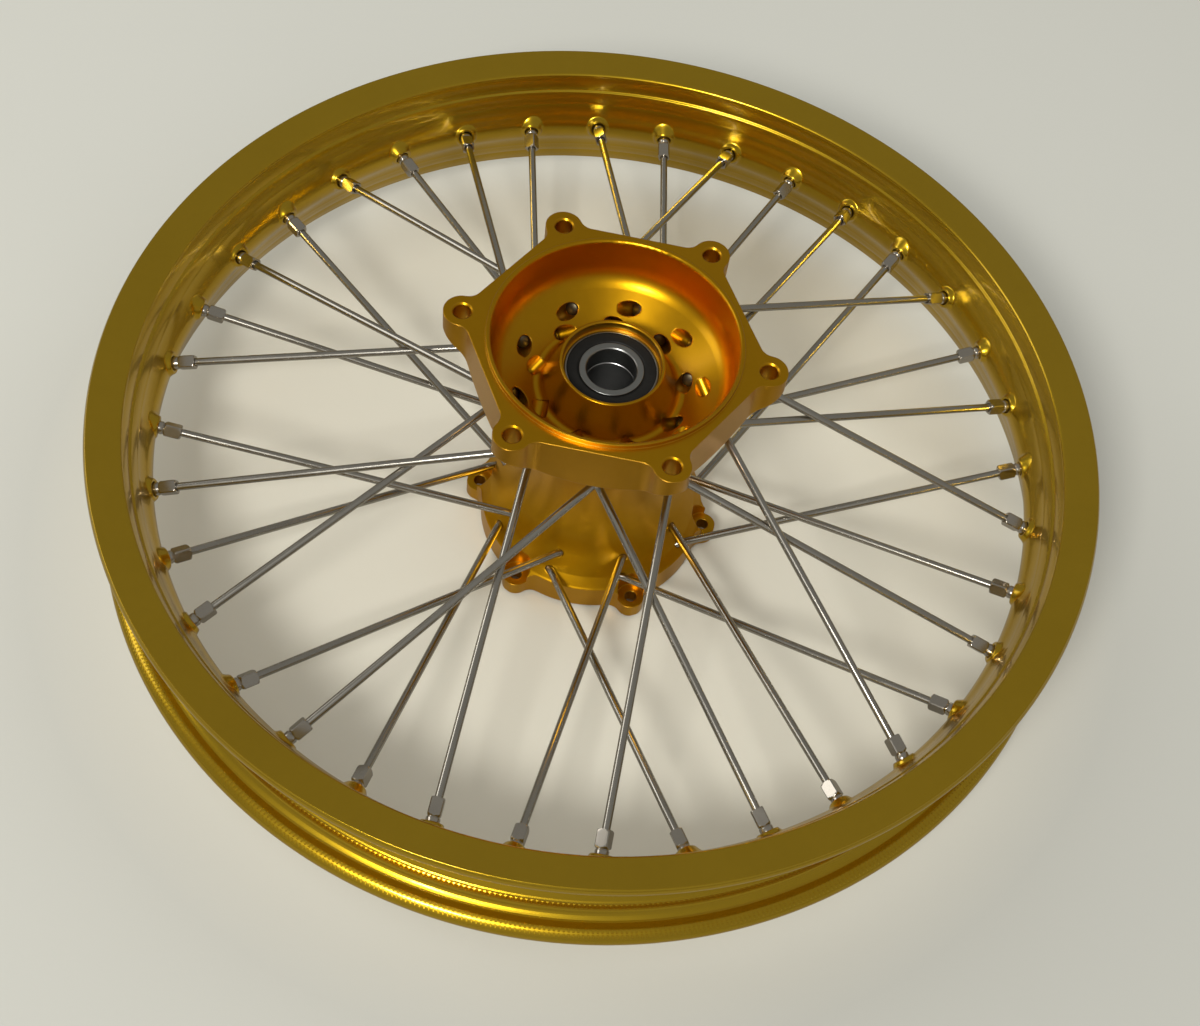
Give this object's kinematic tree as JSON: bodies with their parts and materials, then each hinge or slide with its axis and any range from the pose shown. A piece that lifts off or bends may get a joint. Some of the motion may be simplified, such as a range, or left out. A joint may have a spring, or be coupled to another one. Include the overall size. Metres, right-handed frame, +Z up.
{
  "type": "spoked wheel",
  "caption": "Wire-spoked rear off-road motorcycle wheel: drop-centre rim laced by bent-head spokes to a wide flanged hub with sprocket ears, smaller brake disc ears and sealed bearings.",
  "frame": {"origin": "centre of the wheel: on the axle line, at the rim's mid-plane", "axes": "+Y along the axle toward the brake disc side, the sprocket side faces -Y; +Z up, +X across the upright wheel"},
  "size_m": [0.511, 0.1565, 0.511],
  "materials": {
    "rim_anodised": "satin gold anodised",
    "hub_anodised": "deep gold anodised",
    "spoke_steel": "polished stainless",
    "nipple_plated": "nickel plated",
    "bearing_steel": "ground",
    "cage_steel": "pressed",
    "seal_rubber": "matt black",
    "tube_aluminium": "machined"
  },
  "bodies": {
    "axle_core": {"sprocket_bearing_inner_ring": "bearing_steel", "disc_bearing_inner_ring": "bearing_steel", "distance_tube": "tube_aluminium"},
    "wheel": {"rim": "rim_anodised", "hub": "hub_anodised", "spokes_sprocket_outer_row": "spoke_steel", "spokes_sprocket_inner_row": "spoke_steel", "spokes_disc_inner_row": "spoke_steel", "spokes_disc_outer_row": "spoke_steel", "nipples_sprocket_outer_row": "nipple_plated", "nipples_sprocket_inner_row": "nipple_plated", "nipples_disc_inner_row": "nipple_plated", "nipples_disc_outer_row": "nipple_plated", "sprocket_bearing_outer_ring": "bearing_steel", "sprocket_bearing_outboard_seal": "seal_rubber", "sprocket_bearing_inboard_seal": "seal_rubber", "disc_bearing_outer_ring": "bearing_steel", "disc_bearing_outboard_seal": "seal_rubber", "disc_bearing_inboard_seal": "seal_rubber"},
    "sprocket_ball_set": {"sprocket_bearing_balls": "bearing_steel", "sprocket_bearing_cage": "cage_steel"},
    "disc_ball_set": {"disc_bearing_balls": "bearing_steel", "disc_bearing_cage": "cage_steel"}
  },
  "joints": [
    {"name": "wheel_spin", "type": "hinge", "parent": "axle_core", "child": "wheel", "pos_m": [0, 0, 0], "axis": [0, 1, 0], "continuous": true},
    {"name": "sprocket_ball_set_spin", "type": "hinge", "parent": "axle_core", "child": "sprocket_ball_set", "pos_m": [0, -0.0634, 0], "axis": [0, 1, 0], "continuous": true},
    {"name": "disc_ball_set_spin", "type": "hinge", "parent": "axle_core", "child": "disc_ball_set", "pos_m": [0, 0.047, 0], "axis": [0, 1, 0], "continuous": true}
  ],
  "couplings": [
    {"joint": "sprocket_ball_set_spin", "follows": "wheel_spin", "ratio": 0.5882},
    {"joint": "disc_ball_set_spin", "follows": "wheel_spin", "ratio": 0.5882}
  ]
}
